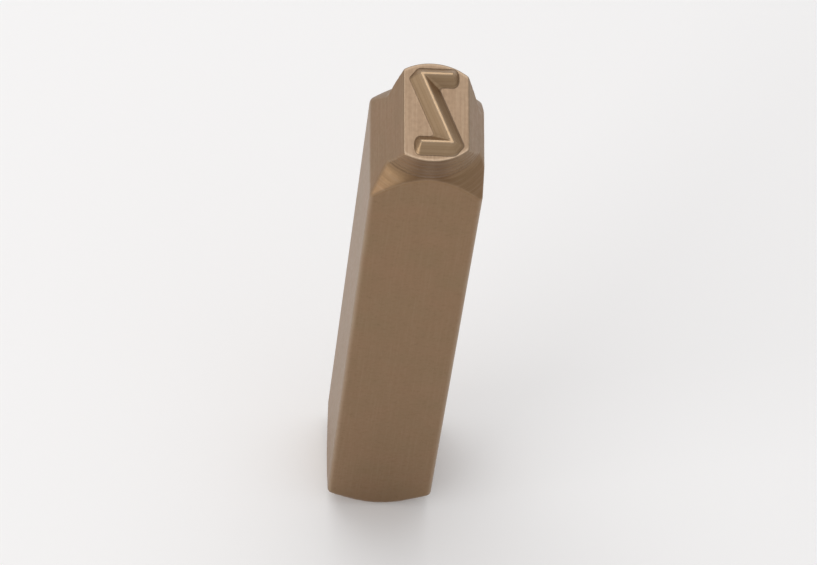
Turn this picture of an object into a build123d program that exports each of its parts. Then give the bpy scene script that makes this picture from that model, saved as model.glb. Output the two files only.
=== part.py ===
from build123d import *
import math
import os

os.makedirs("parts", exist_ok=True)

# A letter punch is one bar of steel. The lower part is the square shank that is held in the fingers and
# struck with a hammer. The upper end is turned and milled down to a small face that carries one raised
# letter, cut as its own mirror image so that it reads the right way round once it is stamped.
# The bar stands on its struck end, +Z up, with its axis on the Z axis. The foot of the letter is towards -Y.
# All sizes are in millimetres.

# The raised letter is a Z. Its strokes are ridges, measured along their crests and across their bases. The
# slanted stroke has gentler slopes than the two bars, so it is the widest at its base.
letter_crest_height = 6.45
letter_crest_width = 2.5
letter_rise = 0.9
bar_base_half_width = 0.9
slant_base_half_width = 1.0
ridge_crest_half_width = 0.07
ridge_end_run = 0.62
ridge_corner_radius = 0.6

# The face under the letter leaves a narrow margin round it. The face and the letter are milled a little
# to the right of the turned centre, so the left side of the face is the longer one.
milling_offset = 0.4
face_side_margin = 0.85
face_end_margin = 0.17
face_edge_chamfer = 0.1

# The turned end: a neck that widens a little downwards, then a shoulder that runs out to the shank's edges.
neck_taper = 0.04
neck_depth = 3.1
shoulder_angle_from_axis = 30.5
shoulder_foot_radius = 1.0

# The two milled flats at the sides of the face.
flat_angle_from_axis = 21.0

# The shank and its struck end.
shank_across_flats = 9.5
shank_edge_radius = 0.35
overall_length = 66.7
struck_bevel_width = 0.45
struck_bevel_angle_from_axis = 45.0

# Sizes that follow from the ones above.
right = letter_crest_width / 2
rear = letter_crest_height / 2
corner_x = right + ridge_end_run - ridge_corner_radius
corner_y = rear + bar_base_half_width - ridge_corner_radius
letter_reach = math.hypot(corner_x + milling_offset, corner_y) + ridge_corner_radius
face_half_width = right + ridge_end_run + face_side_margin
face_radius = letter_reach + face_end_margin
face_level = overall_length - letter_rise
neck_radius = face_radius + neck_taper
neck_level = face_level - neck_depth
shank_half = shank_across_flats / 2
struck_face_radius = shank_half - struck_bevel_width
cut_radius = shank_across_flats
edge_run = face_edge_chamfer * math.tan(math.radians(flat_angle_from_axis))

# The strokes of the letter run between its four corners. Each one is given by its two ends and by its
# half width at the base.
strokes = [
    ((-right, rear), (right, rear), bar_base_half_width),
    ((-right, rear), (right, -rear), slant_base_half_width),
    ((-right, -rear), (right, -rear), bar_base_half_width),
]


def drop(run, angle_from_axis):
    """The height lost by a slope that moves `run` away from the axis."""
    return run / math.tan(math.radians(angle_from_axis))


with BuildPart() as letter_punch:
    # The square bar, with its long edges lightly rounded.
    with BuildSketch():
        RectangleRounded(shank_across_flats, shank_across_flats, shank_edge_radius)
    extrude(amount=face_level)

    # The struck end has a bevel turned round it, so that hammer blows don't spread its edge.
    with BuildSketch(Plane.XZ):
        with BuildLine():
            Polyline(
                (struck_face_radius, 0),
                (cut_radius, drop(cut_radius - struck_face_radius, struck_bevel_angle_from_axis)),
                (cut_radius, 0),
                close=True,
            )
        make_face()
    revolve(axis=Axis.Z, mode=Mode.SUBTRACT)

    # The lathe cut: all that lies outside the neck and its sloping shoulder is turned away, and the sharp
    # edge of the face is broken.
    with BuildSketch(Plane.XZ) as lathe_cut:
        with BuildLine():
            Polyline(
                (face_radius - face_edge_chamfer, face_level),
                (face_radius, face_level - face_edge_chamfer),
                (neck_radius, neck_level),
                (cut_radius, neck_level - drop(cut_radius - neck_radius, shoulder_angle_from_axis)),
                (cut_radius, face_level),
                close=True,
            )
        make_face()
        neck_corner = lathe_cut.vertices().sort_by_distance((neck_radius, 0, neck_level))[0]
        fillet(neck_corner, shoulder_foot_radius)
    revolve(axis=Axis.Z, mode=Mode.SUBTRACT)

    # The two milled flats slope from the straight sides of the face out to the sides of the shank. Their
    # upper edges are broken as well.
    with BuildSketch(Plane.XZ):
        for side in (-1, 1):
            top_edge = milling_offset + side * face_half_width
            run = cut_radius - abs(top_edge)
            with BuildLine():
                Polyline(
                    (top_edge - side * face_edge_chamfer, face_level),
                    (top_edge + side * edge_run, face_level - face_edge_chamfer),
                    (side * cut_radius, face_level - drop(run, flat_angle_from_axis)),
                    (side * cut_radius, face_level),
                    close=True,
                )
            make_face()
    extrude(amount=cut_radius, both=True, mode=Mode.SUBTRACT)

    # The letter's strokes are ridges of triangular section. Each one narrows from a rounded base to its crest.
    for start, end, base_half_width in strokes:
        run = math.dist(start, end)
        turn = math.degrees(math.atan2(end[1] - start[1], end[0] - start[0]))
        middle = (milling_offset + (start[0] + end[0]) / 2, (start[1] + end[1]) / 2)
        with BuildSketch(Plane.XY.offset(face_level)) as base:
            with Locations(middle):
                RectangleRounded(
                    run + 2 * ridge_end_run,
                    2 * base_half_width,
                    ridge_corner_radius,
                    rotation=turn,
                )
        with BuildSketch(Plane.XY.offset(overall_length)) as crest:
            with Locations(middle):
                RectangleRounded(
                    run + 2 * ridge_crest_half_width,
                    2 * ridge_crest_half_width,
                    0.99 * ridge_crest_half_width,
                    rotation=turn,
                )
        loft([base.sketch, crest.sketch])

letter_punch.part.label = "letter_punch"
export_step(letter_punch.part, "parts/letter_punch.step")
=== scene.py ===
# %% [markdown]
# # A steel letter punch
#
# A letter punch is a short square bar of hardened steel. One end is struck with a hammer. The other end
# carries a letter, cut as its own mirror image, that the blow presses into metal, leather or wood.
#
# The whole tool is one piece of steel, so the lesson is about surfaces that run into each other: a square
# bar, a lathe cut, two milled flats and a letter with sharp ridges. Each of them is easy to write down as a
# formula. The looks are in the edges between them, which are never quite sharp on a real tool.

# %% Load the frame
import math

import bpy
import numpy as np
from mathutils import Matrix, Vector


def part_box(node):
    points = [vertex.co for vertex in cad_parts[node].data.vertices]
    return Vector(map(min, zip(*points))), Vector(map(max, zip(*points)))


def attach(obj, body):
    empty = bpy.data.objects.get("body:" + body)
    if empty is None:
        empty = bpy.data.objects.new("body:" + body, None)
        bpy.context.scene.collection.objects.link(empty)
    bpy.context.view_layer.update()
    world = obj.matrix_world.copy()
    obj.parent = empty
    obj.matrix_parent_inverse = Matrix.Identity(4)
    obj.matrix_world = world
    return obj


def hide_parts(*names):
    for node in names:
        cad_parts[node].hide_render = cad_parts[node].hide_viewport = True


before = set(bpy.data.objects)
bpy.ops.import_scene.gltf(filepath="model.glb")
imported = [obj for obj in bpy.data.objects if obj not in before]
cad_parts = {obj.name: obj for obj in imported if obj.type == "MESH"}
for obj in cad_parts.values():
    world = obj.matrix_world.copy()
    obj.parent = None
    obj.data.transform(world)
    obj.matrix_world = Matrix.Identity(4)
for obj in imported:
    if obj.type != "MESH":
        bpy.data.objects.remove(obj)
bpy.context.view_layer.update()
MM = 0.001
low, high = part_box("letter_punch")
half = (high.x - low.x) / 2 / MM
length = high.z / MM
print(f"the bar is {2 * half:.2f} mm across flats and {length:.2f} mm long")

# %% [markdown]
# ## The sizes that the surfaces share
#
# The frame gives the outside of the bar. The rest are the maker's sizes, in millimetres. The face holds the
# letter with a narrow margin round it, so its width and its radius follow from how far the letter reaches.
# On this bar the face and its letter were milled a little to the right of the turned centre, which is why
# the left side of the face is longer than the right one.

# %% Name the sizes
letter_rise = 0.9
letter_right = 2.5 / 2
letter_rear = 6.45 / 2
bar_base = 0.9
slant_base = 1.0
ridge_crest = 0.07
ridge_end_run = 0.62
ridge_corner_radius = 0.6
milling_offset = 0.4
face_side_margin = 0.85
face_end_margin = 0.17
neck_taper = 0.04
neck_depth = 3.1
shoulder_angle = math.radians(30.5)
flat_angle = math.radians(21)
shank_edge_radius = 0.35
struck_bevel_width = 0.45

face_level = length - letter_rise
face_half_width = letter_right + ridge_end_run + face_side_margin
corner_x = milling_offset + letter_right + ridge_end_run - ridge_corner_radius
corner_y = letter_rear + bar_base - ridge_corner_radius
face_radius = round(math.hypot(corner_x, corner_y) + ridge_corner_radius + face_end_margin, 4)
struck_radius = half - struck_bevel_width
print(f"the face is {2 * face_half_width:.2f} mm wide, with round sides of {face_radius:.2f} mm radius")

# %% [markdown]
# ## Rounding an edge with a smooth maximum
#
# A solid can be written as a number for each point in space: below zero inside, above zero outside. Where
# two solids overlap, the larger of their two numbers describes what they have in common, with a knife edge
# where the surfaces meet. A smooth maximum is a little larger than both numbers near that edge, so it
# shaves the edge off. How far it reaches is the size of the worn or broken edge.
#
# The helper also hands back how deep in the edge each point is. That becomes the mask for bright, rubbed
# steel later on.

# %% The smooth maximum
def smooth_max(a, b, reach):
    """The larger of a and b, plus reach / 4 times the square of how far the two blend, from 0 to 1."""
    blend = np.clip(1 - np.abs(a - b) / reach, 0, 1)
    return np.maximum(a, b) + blend * blend * reach / 4, blend


print(f"with a reach of 0.4 mm the number on a knife edge grows by {smooth_max(0, 0, 0.4)[0]:.2f} mm")

# %% [markdown]
# ## Irregularity that is the same in every run
#
# Nothing made by hand and hammer is exact. A few sine waves whose lengths share no common measure add up to
# a smooth, uneven ripple. It needs no random numbers, so the mesh comes out the same each time.

# %% A small ripple
ripple_waves = ((2.3, 0.7, 1.1, 1.0), (5.9, -1.9, 2.0, 0.6), (11.7, 4.1, 0.0, 0.4))


def ripple(*axes):
    """The sum of the sines of each coordinate and its neighbour, between about -1 and 1.

    A wave has a rate along the coordinate, a rate along the neighbour, a shift and a height."""
    total = 0
    for step, axis in enumerate(axes):
        for rate, neighbour_rate, shift, height in ripple_waves:
            total = total + height * np.sin(rate * axis + neighbour_rate * axes[step - 1] + shift * step)
    return total / (2 * len(axes))


along_a_line = ripple(np.linspace(0, 60, 2000), np.linspace(0, 25, 2000))
print(f"along a line the ripple runs from {along_a_line.min():.2f} to {along_a_line.max():.2f}")

# %% [markdown]
# ## The lathe's profile
#
# The end of the bar was turned first. From the face down there is a short neck, a little smaller than the
# bar, and then a shoulder that slopes out until it runs off the four corners. The tool left a soft corner
# between the two, and a few rings where it dwelt. A profile is a radius for each depth below the face.

# %% The turned profile
ring_depths = (0.55, 1.15, 1.75, 2.3, 2.85, 3.5, 4.3)
ring_cuts = (0.020, 0.036, 0.022, 0.034, 0.038, 0.016, 0.012)
ring_width = 0.10
neck_foot_reach = 0.15


def turned_radius(depth):
    """The smooth maximum of the neck's line and the shoulder's, less a bell-shaped dip at each ring."""
    neck = face_radius + neck_taper * depth / neck_depth
    shoulder = face_radius + neck_taper + (depth - neck_depth) * math.tan(shoulder_angle)
    radius, _ = smooth_max(neck, shoulder, neck_foot_reach)
    for ring, cut in zip(ring_depths, ring_cuts):
        radius = radius - cut * np.exp(-(((depth - ring) / ring_width) ** 2))
    return radius


print(f"the neck is {2 * turned_radius(1.0):.2f} mm across at 1 mm below the face")

# %% [markdown]
# ## The square bar
#
# A square with round corners is the set of points within one radius of a smaller square. So the distance
# to it is the distance to the smaller square, less that radius. How far a point lies beyond the smaller
# square on both axes also tells how near it is to one of the long edges, which hands rub bright.

# %% The distance to the square bar
def rounded_square(x, y):
    """The distance to the smaller square less the radius, and a mask that is 1 on the four long edges."""
    beyond_x = np.abs(x) - (half - shank_edge_radius)
    beyond_y = np.abs(y) - (half - shank_edge_radius)
    outside = np.hypot(np.maximum(beyond_x, 0), np.maximum(beyond_y, 0))
    distance = outside + np.minimum(np.maximum(beyond_x, beyond_y), 0) - shank_edge_radius
    long_edge = np.clip(np.minimum(beyond_x, beyond_y) / shank_edge_radius + 0.5, 0, 1)
    return distance, long_edge


print(f"a sharp corner of the square would lie {rounded_square(half, half)[0]:.2f} mm outside the bar")

# %% [markdown]
# ## The cuts, one after the other
#
# Each cut is a surface of its own: a turned profile, two planes, a cone and the two flat ends. They are
# joined one after the other with the smooth maximum. The reach differs from cut to cut, because the bevel
# at the struck end is rounder than the fresh edge between a milled flat and the turned neck. An older edge
# only stays bright where a later cut leaves it standing, so the order matters to the wear.

# %% The whole bar as one number for each point
edge_wear = 0.13
wear_variation = 0.35
slower_along_bar = 0.8
long_edge_brightness = 0.7


def cut_away(field, worn, cut, reach, brightness):
    """The smooth maximum of the bar and one more cut, and the larger of the old wear and the new edge's."""
    standing = np.clip((field - cut) / reach + 1, 0, 1)
    field, edge = smooth_max(field, cut, reach)
    return field, np.maximum(worn * standing, brightness * edge)


def bar_field(x, y, z):
    """The bar's number at each point, the numbers of its long surfaces there, and how worn the place is.

    The turned part is the distance from the axis less the profile's radius. A flat is a plane. The struck
    end's bevel is a cone at 45 degrees. The wear is squared, which narrows it."""
    depth = face_level - z
    wear = edge_wear * (1 + wear_variation * ripple(x, y, slower_along_bar * z))
    sides, long_edge = rounded_square(x, y)
    radius = np.hypot(x, y)
    turned = (radius - turned_radius(depth)) * np.where(depth > neck_depth, math.cos(shoulder_angle), 1)
    flats = np.abs(x - milling_offset) - face_half_width
    flats = flats * math.cos(flat_angle) - depth * math.sin(flat_angle)
    bevel = (radius - struck_radius - z) * math.sqrt(0.5)
    field, worn = sides, long_edge_brightness * long_edge
    for cut, reach, brightness in (
        (turned, 1.2, 0.6),
        (flats, 1.0, 0.6),
        (bevel, 3.0, 0.7),
        (-depth, 0.7, 1.0),
        (-z, 1.5, 1.0),
    ):
        field, worn = cut_away(field, worn, cut, reach * wear, brightness)
    return field, (sides, turned, flats, worn**2)


print(f"half way up, the number is {bar_field(0, 0, length / 2)[0]:.2f} on the bar's axis")

# %% [markdown]
# ## Walking out to the surface
#
# The bar can be seen whole from its own axis: a ray that leaves the axis level with the ground meets the
# surface exactly once. So the surface is a distance for each direction and height, and halving the gap
# between "inside" and "outside" thirty times finds it to far less than a thousandth of a millimetre.

# %% The surface along level rays
halvings = 30
past_the_corners = 1.5


def surface_distance(angle, height):
    """How far from the axis the bar's number is zero, for each angle and height, found by halving."""
    near = np.zeros(np.broadcast(angle, height).shape)
    far = near + past_the_corners * half
    for _ in range(halvings):
        middle = (near + far) / 2
        inside = bar_field(middle * np.cos(angle), middle * np.sin(angle), height + 0 * middle)[0] < 0
        near = np.where(inside, middle, near)
        far = np.where(inside, far, middle)
    return (near + far) / 2


to_side, to_edge = surface_distance(np.array([0, math.pi / 4]), length / 2)
print(f"half way up, a ray meets a side after {to_side:.3f} mm and a long edge after {to_edge:.3f} mm")

# %% [markdown]
# ## The letter
#
# A stamped letter is cut with ridges, not with walls: each stroke is a long roof whose two slopes meet in a
# narrow crest. Only the crest marks the work at first, and the slopes widen the mark as it sinks in. A Z
# has three such roofs. Where two of them meet, the higher one wins, which gives the true valleys and hips.
#
# Seen in the mirror, the Z's slanted stroke runs from the rear left to the front right. Its slopes are a
# little gentler than those of the two bars.

# %% The letter's slopes
hip_power = 2.2
valley_reach_at_crest = 0.06
valley_reach_at_foot = 0.5


def down_roof(x, y, start, end, base):
    """How far each point lies down the slopes of one stroke, from 0 on its crest to 1 at its foot.

    One number grows across the stroke and one past its ends. A power sum of the two rounds the hips."""
    run = math.dist(start, end)
    along_x = (end[0] - start[0]) / run
    along_y = (end[1] - start[1]) / run
    from_middle_x = x - (start[0] + end[0]) / 2
    from_middle_y = y - (start[1] + end[1]) / 2
    along = np.abs(from_middle_x * along_x + from_middle_y * along_y)
    across = np.abs(from_middle_y * along_x - from_middle_x * along_y)
    side = np.maximum((across - ridge_crest) / (base - ridge_crest), 0)
    tip = np.maximum((along - run / 2 - ridge_crest) / (ridge_end_run - ridge_crest), 0)
    return (side**hip_power + tip**hip_power) ** (1 / hip_power)


def letter_slopes(x, y):
    """The least distance down any of the three strokes, with the letter centred between the milled flats.

    The least of two numbers is the negative of a smooth maximum, which fills the valleys between the
    strokes. Its reach grows towards the foot, so the crests still meet in a crisp corner."""
    rear_left = (-letter_right, letter_rear)
    rear_right = (letter_right, letter_rear)
    front_left = (-letter_right, -letter_rear)
    front_right = (letter_right, -letter_rear)
    x = x - milling_offset
    rear_bar = down_roof(x, y, rear_left, rear_right, bar_base)
    slanted = down_roof(x, y, rear_left, front_right, slant_base)
    front_bar = down_roof(x, y, front_left, front_right, bar_base)
    either_bar = np.minimum(rear_bar, front_bar)
    descent = np.clip(np.minimum(either_bar, slanted), 0, 1)
    reach = valley_reach_at_crest + (valley_reach_at_foot - valley_reach_at_crest) * descent
    return -smooth_max(-either_bar, -slanted, reach)[0]


beside = letter_slopes(milling_offset + 0.5, 0)
print(f"half a millimetre to the right of its middle, the letter is {beside:.2f} of the way down")

# %% [markdown]
# ## The letter's height
#
# A knife-edged crest would crumble at the first blow. So the roof is drawn a little too high and then cut
# off level, which leaves a narrow land, uneven where use has dulled it. At its foot, the round nose of the
# engraving cutter leaves a small fillet on the face.

# %% The letter's height above the face
roof_rise = 1.05 * letter_rise
crest_dulling = 0.03
crest_unevenness = 0.02
crest_rates = (1.7, 1.3)
crest_reach = 0.12
foot_reach = 0.08


def letter_height(x, y):
    """The roof's rise times one less the dulled descent, kept between the face and the letter's rise."""
    dulling = crest_dulling + crest_unevenness * ripple(crest_rates[0] * x, crest_rates[1] * y)
    dulled, _ = smooth_max(letter_slopes(x, y), dulling, crest_reach)
    height, _ = smooth_max(roof_rise * (1 - dulled), 0, foot_reach)
    return np.minimum(height, letter_rise)


print(f"the rear bar stands {letter_height(milling_offset, letter_rear):.2f} mm above the face")

# %% [markdown]
# ## Points round the face
#
# The letter is the finest thing on the tool, so the finest grid goes on the face. The face has four sides,
# two straight and two round, and a square grid fits it well. Its outer points are shared out first, because
# every one of them is also the top of a column that runs down the side of the bar.

# %% Share out the points round the face
across_steps = 150
along_steps = 250
corner_pull = 0.11


def face_directions():
    """The angles of the outer points, from the front left corner and to the right round the face.

    On the front and rear sides, y squared is the square of the radius less x squared."""
    left, right = milling_offset - face_half_width, milling_offset + face_half_width
    across = np.linspace(left, right, across_steps + 1)
    arc = np.sqrt(face_radius**2 - across**2)
    right_side = np.linspace(-arc[-1], arc[-1], along_steps + 1)
    left_side = np.linspace(arc[0], -arc[0], along_steps + 1)
    around_x = np.concatenate([
        across[:-1],
        np.full(along_steps, right),
        across[:0:-1],
        np.full(along_steps, left),
    ])
    around_y = np.concatenate([-arc[:-1], right_side[:-1], arc[:0:-1], left_side[:-1]])
    return np.unwrap(np.arctan2(around_y, around_x))


at_face = face_directions()
even = at_face[0] + np.arange(at_face.size) / at_face.size * 2 * np.pi
at_shank = even + corner_pull * np.sin(4 * even)
print(f"{at_face.size} columns start at the face")

# %% [markdown]
# ## Bands of rows down the side
#
# The columns leave the face where its outline needs them and drift, on their way down, to the corners of
# the square, where the shank needs them. The shank is plain, so it gets one column in four, and the neck
# and the shoulder get one in two. Rows crowd together where the shape turns quickly. That way the triangles
# are spent where they show.

# %% Lay out the bands
struck_edge = 0.27
bevel_top = 3.0
head_depth = 8.2
rim_depth = 0.5
drift_depth = 6.0
edge_count, bevel_count, shank_count, head_count, rim_count = 6, 13, 11, 87, 14
edge_rows = struck_edge * (np.arange(1, edge_count + 1) / edge_count) ** 2
bevel_rows = np.linspace(struck_edge, bevel_top, bevel_count + 1)[1:]
shank_rows = np.linspace(bevel_top, face_level - head_depth, shank_count + 1)[1:]
head_rows = face_level - np.linspace(head_depth, rim_depth, head_count + 1)[1:]
rim_rows = face_level - rim_depth * (np.arange(rim_count - 1, 0, -1) / rim_count) ** 2


def band(heights, step):
    """The points of a band of rows, as three grids that keep one column in every `step`."""
    heights = heights[:, None]
    drift = np.clip((face_level - heights) / drift_depth, 0, 1)
    drift = drift * drift * (3 - 2 * drift)
    angle = (at_face + (at_shank - at_face) * drift)[:, ::step]
    distance = surface_distance(angle, heights)
    return distance * np.cos(angle), distance * np.sin(angle), heights + 0 * distance


shank_band = band(np.concatenate([edge_rows, bevel_rows, shank_rows]), 4)
head_band = band(head_rows, 2)
rim_band = band(rim_rows, 1)
print(f"the bands have {shank_band[0].size}, {head_band[0].size} and {rim_band[0].size} points")

# %% [markdown]
# ## The grid on the face
#
# The four sides of the outline are known, and the inside of the grid is a blend of them: the front and rear
# sides weighted by how far along a point is, plus the left and right sides weighted by how far across it
# is, less the blend of the four corners, which would otherwise count twice. Each point is then lifted by
# the height of the letter there.

# %% Fill in the face and the struck end
outline = np.stack([rim_band[0][-1], rim_band[1][-1]], -1)
outline = np.concatenate([outline, outline[:1]])
front_side = outline[: across_steps + 1, None]
right_side = outline[None, across_steps : across_steps + along_steps + 1]
rear_side = outline[across_steps + along_steps : 2 * across_steps + along_steps + 1][::-1, None]
left_side = outline[2 * across_steps + along_steps :][None, ::-1]
s = np.linspace(0, 1, across_steps + 1)[:, None, None]
t = np.linspace(0, 1, along_steps + 1)[None, :, None]
left_corners = (1 - t) * front_side[0] + t * rear_side[0]
right_corners = (1 - t) * front_side[-1] + t * rear_side[-1]
corners = (1 - s) * left_corners + s * right_corners
face_points = (1 - t) * front_side + t * rear_side + (1 - s) * left_side + s * right_side - corners
face_x = face_points[1:-1, 1:-1, 0]
face_y = face_points[1:-1, 1:-1, 1]
face_z = face_level + letter_height(face_x, face_y)

foot_steps = 5
outwards = np.linspace(0, 1, foot_steps + 1)[1:-1, None]
foot_x = outwards * shank_band[0][0]
foot_y = outwards * shank_band[1][0]
parts = [(foot_x, foot_y, 0 * foot_x), shank_band, head_band, rim_band, (face_x, face_y, face_z)]
x, y, z = (np.concatenate([part[axis].ravel() for part in parts]) for axis in range(3))
print(f"the face has {face_x.size} points inside its outline")

# %% [markdown]
# ## From points to one closed mesh
#
# The grids are joined up as quads. Where a band meets one with twice as many columns, each coarse edge
# takes three triangles. A fan of triangles closes the middle of the struck end. The row and column numbers
# say which points make a face, and numpy works them all out at once.

# %% Number the points
def numbers(shape, first):
    """The point numbers of a grid of this shape, counted from the first one."""
    return first + np.arange(math.prod(shape)).reshape(shape)


def ring_quads(index):
    """Quads between the rows of a band, whose last column meets its first."""
    ahead = np.roll(index, -1, 1)
    return np.stack([index[:-1], ahead[:-1], ahead[1:], index[1:]], -1).reshape(-1, 4)


def stitch(lower, upper):
    """Three triangles for each edge of a lower ring that meets a ring with twice as many points."""
    ahead = np.roll(lower, -1)
    left, middle, right = upper[::2], upper[1::2], np.roll(upper[::2], -1)
    threes = [(lower, ahead, middle), (lower, middle, left), (ahead, right, middle)]
    return np.concatenate([np.stack(three, -1) for three in threes])


firsts = np.cumsum([0] + [part[0].size for part in parts])
foot, shank, head, rim, inner = (numbers(part[0].shape, first) for part, first in zip(parts, firsts))
face = np.zeros((across_steps + 1, along_steps + 1), int)
face[1:-1, 1:-1] = inner
steps_i, steps_j = np.arange(across_steps), np.arange(along_steps)
face[steps_i, 0] = rim[-1, :across_steps]
face[-1, steps_j] = rim[-1, across_steps : across_steps + along_steps]
face[across_steps - steps_i, -1] = rim[-1, across_steps + along_steps : 2 * across_steps + along_steps]
face[0, along_steps - steps_j] = rim[-1, 2 * across_steps + along_steps :]
print(f"the grids hold {x.size} points, {inner.size} of them inside the face")

# %% [markdown]
# ## One mesh, written in one go
#
# Blender takes a whole mesh as long rows of numbers: where the points are, which points each face uses, and
# where each face starts in that row. All faces are smooth, since the edges are round surfaces of their own.

# %% Join up the mesh
def closed_mesh(name, points, quads, threes):
    """A mesh of four- and three-sided faces, the quads first."""
    corner_points = np.concatenate([quads.ravel(), threes.ravel()])
    sizes = np.concatenate([np.full(len(quads), 4), np.full(len(threes), 3)])
    starts = np.cumsum(sizes) - sizes
    mesh = bpy.data.meshes.new(name)
    mesh.vertices.add(len(points))
    mesh.vertices.foreach_set("co", points.astype(np.float32).ravel())
    mesh.loops.add(len(corner_points))
    mesh.loops.foreach_set("vertex_index", corner_points.astype(np.int32))
    mesh.polygons.add(len(sizes))
    mesh.polygons.foreach_set("loop_start", starts.astype(np.int32))
    mesh.polygons.foreach_set("use_smooth", np.ones(len(sizes), bool))
    mesh.update(calc_edges=True)
    mesh.validate()
    return mesh


face_quads = np.stack([face[:-1, :-1], face[1:, :-1], face[1:, 1:], face[:-1, 1:]], -1)
quads = np.concatenate([
    ring_quads(np.concatenate([foot, shank])),
    ring_quads(head),
    ring_quads(rim),
    face_quads.reshape(-1, 4),
])
pole = np.full(foot.shape[1], x.size)
threes = np.concatenate([
    np.stack([np.roll(foot[0], -1), foot[0], pole], -1),
    stitch(shank[-1], head[0]),
    stitch(head[-1], rim[0]),
])
pole_point = np.zeros(1)
x, y, z = (np.concatenate([axis, pole_point]) for axis in (x, y, z))
punch_mesh = closed_mesh("letter_punch_skin", np.stack([x, y, z], -1) * MM, quads, threes)
print(f"the skin has {2 * len(quads) + len(threes)} triangles")

# %% [markdown]
# ## Which tool touched what
#
# The finish of a surface comes from the tool that cut it last: the lathe leaves rings, the milling cutter
# leaves straight lines, and the drawn bar has a faint grain along its length. The field already knows which
# cut each point lies on, so the shares are stored on the mesh as attributes for the material to read. The
# way down the letter's slopes and the distance from the round rim of the face are stored as plain
# distances, since a thin line drawn from a distance stays crisp between the points.
#
# A painted shade lies thickest on the front and the rear of the turned neck, and fades out to the sides.

# %% Store the finishes as attributes
share_softness = 0.08
rim_softness = 0.05
# The painted shade on the neck: where it ends across the neck, and how wide its fade is.
painted_neck_shade_end = 0.56
painted_neck_shade_fade = 0.42
least_radius = 0.1
wear_on_face = 0.45
beyond_letter = 2


def store(name, values):
    """Writes one number for each point of the skin."""
    attribute = punch_mesh.attributes.new(name, "FLOAT", "POINT")
    attribute.data.foreach_set("value", values.astype(np.float32))


def nearest_cut(own, others):
    """1 where a point lies on this cut and 0 where it lies on another, with a soft change between them."""
    return np.clip((own - np.maximum.reduce(others)) / share_softness + 0.5, 0, 1)


on_face = (np.arange(x.size) >= inner[0, 0]) & (np.arange(x.size) < x.size - 1)
_, (sides, turned, flats, worn) = bar_field(x, y, np.minimum(z, face_level))
radius = np.hypot(x, y)
level_face = np.where(on_face, 1.0, np.clip((z - face_level) / rim_softness + 1, 0, 1))
turned_share = nearest_cut(turned, [sides, flats]) * (1 - level_face) * (z > length / 2)
# Painted shade: darkest on the front and the rear of the turned neck, fading out to the sides.
painted_neck_shade = np.clip((painted_neck_shade_end - np.abs(x) / np.maximum(radius, least_radius)) / painted_neck_shade_fade, 0, 1)
store("turned", turned_share)
store("painted_neck_shade", turned_share * painted_neck_shade * painted_neck_shade * (3 - 2 * painted_neck_shade))
store("milled", nearest_cut(flats, [sides, turned]) * (1 - level_face))
store("face", level_face)
store("worn", worn * np.where(on_face, wear_on_face, 1))
store("descent", np.where(on_face, np.minimum(letter_slopes(x, y), beyond_letter), beyond_letter))
store("inset", np.where(on_face, face_radius - radius, np.maximum(z - face_level, -1)))
print(f"{np.mean(turned_share > 0.5):.0%} of the points are turned, {np.mean(on_face):.0%} are on the face")

# %% [markdown]
# ## The skin takes the place of the plain solid
#
# The skin rides on the tool's only body and hides the plain solid that it stands for.

# %% Put the skin in the scene
punch = bpy.data.objects.new("letter_punch_skin", punch_mesh)
bpy.context.scene.collection.objects.link(punch)
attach(punch, "root")
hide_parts("letter_punch")
print(f"{punch.name} has {len(punch_mesh.vertices)} points")

# %% [markdown]
# ## Shader maths as plain expressions
#
# A material is a graph of nodes. Written out node by node, even a simple sum is hard to read. This small
# class wraps a socket so that `1 - mask * 0.5` adds the Math nodes by itself.

# %% The socket class
class Socket:
    """A node's output that takes part in Python sums. Each operator adds one Math node."""

    def __init__(self, tree, output):
        self.tree = tree
        self.output = output

    def math(self, operation, *values):
        return node(self.tree, "ShaderNodeMath", {"operation": operation}, dict(enumerate(values)))[0]

    def __add__(self, other):
        return self.math("ADD", self, other)

    def __mul__(self, other):
        return self.math("MULTIPLY", self, other)

    def __sub__(self, other):
        return self.math("SUBTRACT", self, other)

    def __rsub__(self, other):
        return self.math("SUBTRACT", other, self)

    def __abs__(self):
        return self.math("ABSOLUTE", self)

    def clamp(self):
        return node(self.tree, "ShaderNodeClamp", {}, {"Value": self})[0]

    __radd__ = __add__
    __rmul__ = __mul__


def node(tree, kind, settings, inputs):
    """Adds a node, applies its settings first, then links or sets its inputs. Returns its outputs."""
    made = tree.nodes.new(kind)
    for name, value in settings.items():
        setattr(made, name, value)
    for key, value in inputs.items():
        if isinstance(value, Socket):
            tree.links.new(value.output, made.inputs[key])
        else:
            made.inputs[key].default_value = value
    return [Socket(tree, output) for output in made.outputs]


# %% [markdown]
# ## Colours and noises
#
# A Math node would turn a colour grey, so colours go through a Mix node. A noise is read at a point. When
# the point's coordinates are first multiplied by small numbers, the noise is drawn out into lines that run
# along those coordinates, as the scratches of a tool do.

# %% Colour and noise helpers
def mix_colour(tree, share, first, second):
    """The first colour times one less the share, plus the second times the share.

    Each colour is a link or three numbers."""
    pair = [c if isinstance(c, Socket) else (*c, 1.0) for c in (first, second)]
    return node(tree, "ShaderNodeMix", {"data_type": "RGBA"}, {0: share, 6: pair[0], 7: pair[1]})[2]


def noise(tree, point, scale, detail=3.0, roughness=0.55):
    """One Noise Texture read at a point, between 0 and 1."""
    inputs = {"Vector": point, "Scale": scale, "Detail": detail, "Roughness": roughness}
    return node(tree, "ShaderNodeTexNoise", {}, inputs)[0]


def stretched(tree, point, scale):
    """The point with each of its three coordinates multiplied by its own number, which draws noise out."""
    return node(tree, "ShaderNodeVectorMath", {"operation": "MULTIPLY"}, {0: point, 1: scale})[0]


# %% [markdown]
# ## Where each finish lies
#
# The material reads the stored numbers and works out a few more places from them: the crest and the slopes
# of the letter, the crease round its foot, which gets a painted shade, the sides of the turned end, which
# get a little painted light, the rim of the face, and the plain drawn steel that is left.

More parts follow.
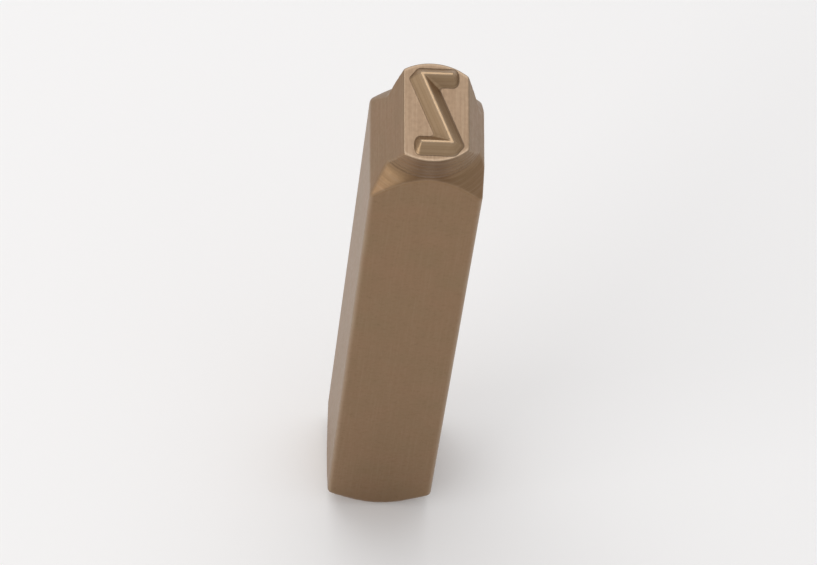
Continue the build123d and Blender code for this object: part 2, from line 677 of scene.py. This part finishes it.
# %% The masks of the steel
stored_masks = ("turned", "painted_neck_shade", "milled", "face", "worn", "descent", "inset")
crest_descent = 0.2
rim_inset = 0.12


def line_at(distance, middle, sharpness):
    """A thin line: one less the sharpness times the distance from its middle, and never below 0."""
    return (1 - abs(distance - middle) * sharpness).clamp()


def steel_masks(tree):
    """The stored numbers, and the places that follow from them, by name."""
    masks = {}
    for name in stored_masks:
        masks[name] = node(tree, "ShaderNodeAttribute", {"attribute_name": name}, {})[2]
    masks["crest"] = ((crest_descent - masks["descent"]) * 6).clamp()
    masks["flank"] = ((1 - masks["descent"]) * 16).clamp()
    # Painted shade: a dark line in the crease along the foot of the letter.
    masks["crease"] = line_at(masks["descent"], 1, 12)
    masks["rim"] = line_at(masks["inset"], rim_inset, 5)
    # Painted light: the sides of the turned end, away from the painted neck shade, are lightened.
    masks["shoulder"] = (masks["turned"] - masks["painted_neck_shade"]).clamp()
    masks["straight"] = (masks["milled"] + masks["face"] - masks["flank"]).clamp()
    masks["plain"] = (1 - masks["turned"] - masks["straight"] - masks["flank"]).clamp()
    return masks


print(f"the steel reads {len(stored_masks)} stored masks")

# %% [markdown]
# ## The grain of each tool
#
# Drawn steel has lines along the bar, turned steel has lines round it, and the milling cutter ran from
# front to back. On the letter's slopes the cutter ran along the strokes, so each line there keeps to one
# height, and the noise is read from the way down the slope.

# %% The grain
grain_scale = 5200.0
milled_scale = 6000.0
grain_detail = 2.0


def steel_grain(tree, point, masks):
    """The sum of four noises, each times the share of the surface that its own tool cut."""
    drawn = noise(tree, stretched(tree, point, (1.0, 1.0, 0.03)), grain_scale, grain_detail)
    turned = noise(tree, stretched(tree, point, (0.06, 0.06, 1.0)), grain_scale, grain_detail)
    milled = noise(tree, stretched(tree, point, (1.0, 0.03, 1.0)), milled_scale, grain_detail)
    down_slope = {"W": masks["descent"] * 6, "Scale": 1.1}
    engraved = node(tree, "ShaderNodeTexNoise", {"noise_dimensions": "1D"}, down_slope)[0]
    grain = drawn * masks["plain"] + turned * masks["turned"]
    return grain + milled * masks["straight"] + engraved * masks["flank"]


print(f"the lines of the drawn and the turned steel lie about {1 / grain_scale / MM:.2f} mm apart")

# %% [markdown]
# ## The colour of the steel
#
# The bar has been hardened and tempered, so it isn't bright. It is a warm brown grey with a satin sheen,
# mottled where the oxide took unevenly. A painted shade darkens the front and the rear of the turned neck,
# and a little painted light lifts the sides of the turned end. The face and the rubbed edges are paler. The
# slopes of the letter were cut last. They get a warmer, lighter colour, which is painted light, and their
# crests are almost bare. A painted shade darkens the crease round the letter's foot. In the material these
# are coats, laid one over the other.

# %% The coats of colour
steel_brown = (0.282, 0.165, 0.086)
steel_olive = (0.254, 0.161, 0.080)
# A dark tone for the painted shade, and for the dark specks and grain.
steel_dark = (0.118, 0.064, 0.033)
steel_face = (0.286, 0.203, 0.138)
# The colour of the painted light on the letter's slopes.
painted_slope_light = (0.420, 0.285, 0.165)
steel_bare = (0.520, 0.405, 0.295)


def steel_colour(tree, masks, mottle, speck, grain, rubbed):
    """The two browns mixed by the mottling, then one coat after another, each laid on by its own share."""
    lines = 0.18 + masks["turned"] * 0.30 + masks["straight"] * 0.35 + masks["flank"] * 0.8
    colour = mix_colour(tree, (mottle * 1.8 - 0.4).clamp(), steel_brown, steel_olive)
    for share, tone in (
        # Painted shade on the front and the rear of the turned neck.
        (masks["painted_neck_shade"] * 0.62, steel_dark),
        # Painted light on the sides of the turned end.
        (masks["shoulder"] * 0.2, steel_face),
        (masks["face"] * 0.85, steel_face),
        # Painted light on the letter's slopes.
        (masks["flank"] * 0.8, painted_slope_light),
        # Painted shade in the crease round the letter's foot.
        (masks["crease"] * 0.34, steel_dark),
        ((speck - 0.58) * masks["plain"] * 0.7, steel_dark),
        ((grain - 0.5) * lines, steel_bare),
        ((0.5 - grain) * lines, steel_dark),
        (rubbed, steel_bare),
    ):
        colour = mix_colour(tree, share.clamp(), colour, tone)
    return colour


print(f"bare steel reflects {steel_bare[1] / steel_dark[1]:.1f} times as much green as the darkest oxide")

# %% [markdown]
# ## The steel
#
# Roughness falls where hands and hammer rub the steel, and rises a little on the cut surfaces. The grain
# and the fine specks are too small for the mesh, so they come from a bump of two hundredths of a
# millimetre.

# %% The steel material
satin_roughness = 0.42
mottle_scale = 260.0
speck_scale = 2600.0
bump_height = 0.02 * MM


def punch_steel():
    """The masks, the noises, the rubbed share and the coats of colour, joined in one metal."""
    material = bpy.data.materials.new("punch_steel")
    material.use_nodes = True
    tree = material.node_tree
    tree.nodes.clear()
    point = node(tree, "ShaderNodeTexCoord", {}, {})[3]
    masks = steel_masks(tree)
    mottle = noise(tree, point, mottle_scale, 4.0)
    speck = noise(tree, point, speck_scale, 3.0, 0.6)
    grain = steel_grain(tree, point, masks)
    rubbed = masks["worn"] * (0.15 + mottle * 0.6)
    rubbed = (rubbed + masks["crest"] * (speck * 0.7 - 0.15) + masks["rim"] * 0.35).clamp()
    roughness = satin_roughness + (speck - 0.5) * 0.2
    roughness = roughness + (masks["turned"] + masks["face"]) * 0.05 - rubbed * 0.12
    relief = {"Strength": 0.35, "Distance": bump_height, "Height": grain * 0.7 + speck * 0.35}
    bump = node(tree, "ShaderNodeBump", {}, relief)[0]
    surface = node(tree, "ShaderNodeBsdfPrincipled", {}, {
        "Base Color": steel_colour(tree, masks, mottle, speck, grain, rubbed),
        "Metallic": 1.0,
        "Roughness": roughness.clamp(),
        "Normal": bump,
    })[0]
    node(tree, "ShaderNodeOutputMaterial", {}, {"Surface": surface})
    return material


punch_mesh.materials.append(punch_steel())
print(f"the steel is a graph of {len(punch_mesh.materials[0].node_tree.nodes)} nodes")

# %% [markdown]
# ## The floor
#
# A plain pale floor catches the soft shadow that tells the eye the bar is standing. It is much larger than
# the bar, so that its edge never shows. It isn't part of the tool.

# %% The floor
floor_radius = 1.5
floor_points = 96


def floor_disc(radius):
    """One flat face whose points lie evenly on a circle, at the radius times the cosine and sine."""
    around = np.linspace(0, 2 * np.pi, floor_points, endpoint=False)
    points = np.stack([radius * np.cos(around), radius * np.sin(around), 0 * around], -1)
    mesh = bpy.data.meshes.new("floor")
    mesh.from_pydata(points.tolist(), [], [list(range(floor_points))])
    return bpy.data.objects.new("floor", mesh)


floor = floor_disc(floor_radius)
bpy.context.scene.collection.objects.link(floor)
floor_material = bpy.data.materials.new("pale_floor")
floor_material.use_nodes = True
floor_shader = floor_material.node_tree.nodes["Principled BSDF"]
floor_shader.inputs["Base Color"].default_value = (0.90, 0.89, 0.88, 1.0)
floor_shader.inputs["Roughness"].default_value = 0.85
floor.data.materials.append(floor_material)
print(f"the floor reaches {floor_radius:.1f} m from the bar")

# %% [markdown]
# ## Light
#
# Satin steel shows what is round it. One large soft lamp overhead makes the face and the crests bright. The
# sides see the dimmer room, so they stay darker, and that difference is what makes the letter readable. A
# second lamp, lower and to the front left, lifts the shank and the left of the shoulder.

# %% The lamps and the room
def soft_lamp(name, place, target, size, power):
    """A square area lamp at a place, turned to face a target."""
    data = bpy.data.lights.new(name, "AREA")
    data.size = size
    data.energy = power
    lamp = bpy.data.objects.new(name, data)
    away = Vector(place) - Vector(target)
    lamp.matrix_world = Matrix.Translation(place) @ away.to_track_quat("Z", "Y").to_matrix().to_4x4()
    bpy.context.scene.collection.objects.link(lamp)
    return lamp


top = (0.0, 0.0, length * MM)
lamps = [
    soft_lamp("overhead", (-0.08, 0.18, 0.52), top, 0.42, 1.12),
    soft_lamp("left", (-0.46, -0.28, 0.22), top, 0.40, 1.0),
]
world = bpy.data.worlds.new("room")
bpy.context.scene.world = world
world.use_nodes = True
room = world.node_tree
room.nodes.clear()
sky = node(room, "ShaderNodeBackground", {}, {"Color": (0.62, 0.62, 0.63, 1.0), "Strength": 1.0})[0]
node(room, "ShaderNodeOutputWorld", {}, {"Surface": sky})
print(f"the {len(lamps)} lamps give {sum(lamp.data.energy for lamp in lamps):.2f} W")

# %% [markdown]
# ## The camera
#
# The photograph looks down on the face from about 62 degrees, a little from the left, through a long lens
# from about half a metre. The picture is slightly turned, so the bar leans to the right in it.

# %% The camera
azimuth = math.radians(-8.0)
elevation = math.radians(62.0)
roll = math.radians(9.0)
camera_distance = 0.52
aim = Vector((0.0003, 0.0, 0.53 * length * MM))
back = Vector((
    math.sin(azimuth) * math.cos(elevation),
    -math.cos(azimuth) * math.cos(elevation),
    math.sin(elevation),
))
lens = bpy.data.cameras.new("camera")
lens.sensor_width = 36.0
lens.lens = 262.0
lens.clip_start = 0.01
camera = bpy.data.objects.new("camera", lens)
place = Matrix.Translation(aim + camera_distance * back)
looking = back.to_track_quat("Z", "Y").to_matrix().to_4x4()
camera.matrix_world = place @ looking @ Matrix.Rotation(roll, 4, "Z")
bpy.context.scene.collection.objects.link(camera)
bpy.context.scene.camera = camera
bpy.context.scene.view_settings.view_transform = "Standard"
print(f"the camera stands {camera_distance:.2f} m away with a {lens.lens:.0f} mm lens")
